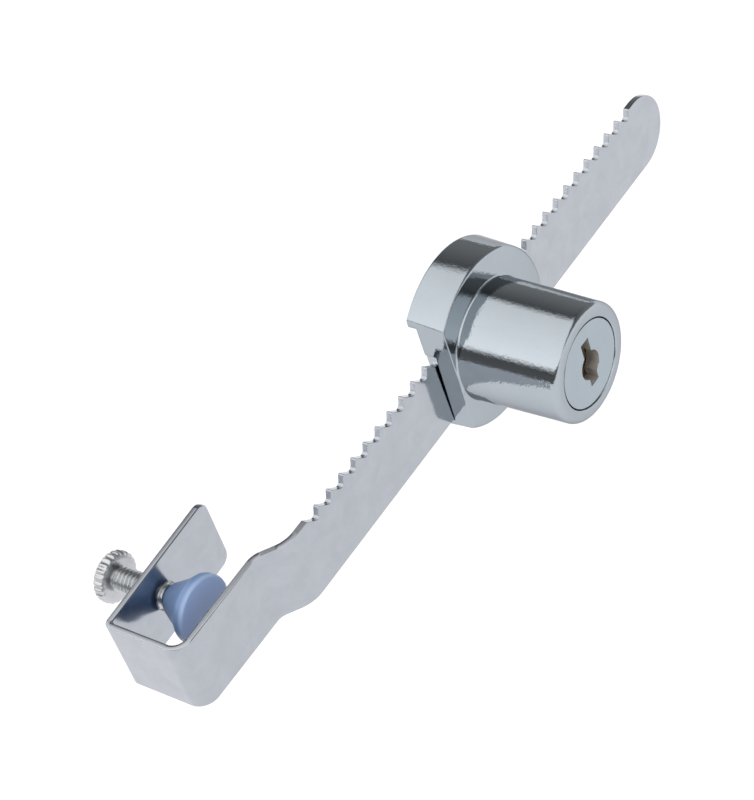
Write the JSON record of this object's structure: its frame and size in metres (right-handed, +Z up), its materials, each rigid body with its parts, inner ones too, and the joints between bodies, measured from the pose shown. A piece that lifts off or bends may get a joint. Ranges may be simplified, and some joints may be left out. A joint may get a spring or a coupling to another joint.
{
  "type": "showcase lock",
  "caption": "Ratchet showcase lock for sliding glass doors: keyed lock body that slides on a toothed bar with a clamping hook and thumb screw.",
  "frame": {"origin": "where the thumb screw's axis meets the face of the hook's front leg that bears on the glass", "axes": "+X along the toothed bar towards its tip, +Y from the key side to the hook's back leg, +Z up to the toothed edge"},
  "size_m": [0.1262, 0.0479, 0.0287],
  "materials": {
    "zinc_strip": "bright zinc",
    "zinc_plate": "satin zinc",
    "zinc_screw": "bright zinc",
    "chrome_housing": "polished",
    "chrome_plug": "satin",
    "blue_pad": "satin",
    "wafer_brass": "plain",
    "spring_steel": "plain"
  },
  "bodies": {
    "bar": {"ratchet_bar": "zinc_strip"},
    "lock_body": {"lock_housing": "chrome_housing", "back_plate": "zinc_plate", "plate_rivets": "zinc_plate", "pawl_spring": "spring_steel"},
    "plug": {"lock_plug": "chrome_plug", "retaining_clip": "spring_steel", "release_cam": "zinc_plate", "cam_screw": "zinc_screw", "wafer_spring_1": "spring_steel", "wafer_spring_2": "spring_steel", "wafer_spring_3": "spring_steel", "wafer_spring_4": "spring_steel", "wafer_spring_5": "spring_steel"},
    "pawl": {"pawl": "zinc_plate"},
    "pad": {"clamp_pad": "blue_pad"},
    "screw": {"thumb_screw": "zinc_screw"},
    "wafer_1": {"wafer_1": "wafer_brass"},
    "wafer_2": {"wafer_2": "wafer_brass"},
    "wafer_3": {"wafer_3": "wafer_brass"},
    "wafer_4": {"wafer_4": "wafer_brass"},
    "wafer_5": {"wafer_5": "wafer_brass"}
  },
  "joints": [
    {"name": "lock_slide", "type": "slide", "parent": "bar", "child": "lock_body", "axis": [1, 0, 0], "range_m": [-0.03492, 0.04127]},
    {"name": "plug_turn", "type": "hinge", "parent": "lock_body", "child": "plug", "pos_m": [0.0582, -0.0245, 0.00285], "axis": [0, 1, 0], "range_deg": [0, 90]},
    {"name": "pawl_lift", "type": "slide", "parent": "lock_body", "child": "pawl", "axis": [0, 0, 1], "range_m": [0, 0.0017], "deforming": ["pawl_spring"]},
    {"name": "pad_travel", "type": "slide", "parent": "bar", "child": "pad", "axis": [0, -1, 0], "range_m": [-0.0007, 0.0049]},
    {"name": "thumb_turn", "type": "hinge", "parent": "pad", "child": "screw", "pos_m": [0, 0.0233, 0], "axis": [0, -1, 0], "range_deg": [-360, 2520]},
    {"name": "wafer_1_slide", "type": "slide", "parent": "plug", "child": "wafer_1", "axis": [0, 0, 1], "range_m": [-0.0006, 0], "deforming": ["wafer_spring_1"]},
    {"name": "wafer_2_slide", "type": "slide", "parent": "plug", "child": "wafer_2", "axis": [0, 0, 1], "range_m": [-0.0006, 0], "deforming": ["wafer_spring_2"]},
    {"name": "wafer_3_slide", "type": "slide", "parent": "plug", "child": "wafer_3", "axis": [0, 0, 1], "range_m": [-0.0006, 0], "deforming": ["wafer_spring_3"]},
    {"name": "wafer_4_slide", "type": "slide", "parent": "plug", "child": "wafer_4", "axis": [0, 0, 1], "range_m": [-0.0006, 0], "deforming": ["wafer_spring_4"]},
    {"name": "wafer_5_slide", "type": "slide", "parent": "plug", "child": "wafer_5", "axis": [0, 0, 1], "range_m": [-0.0006, 0], "deforming": ["wafer_spring_5"]}
  ],
  "couplings": [
    {"joint": "plug_turn", "follows": "pawl_lift", "rad_per_m": 924},
    {"joint": "thumb_turn", "follows": "pad_travel", "rad_per_m": 8976}
  ]
}
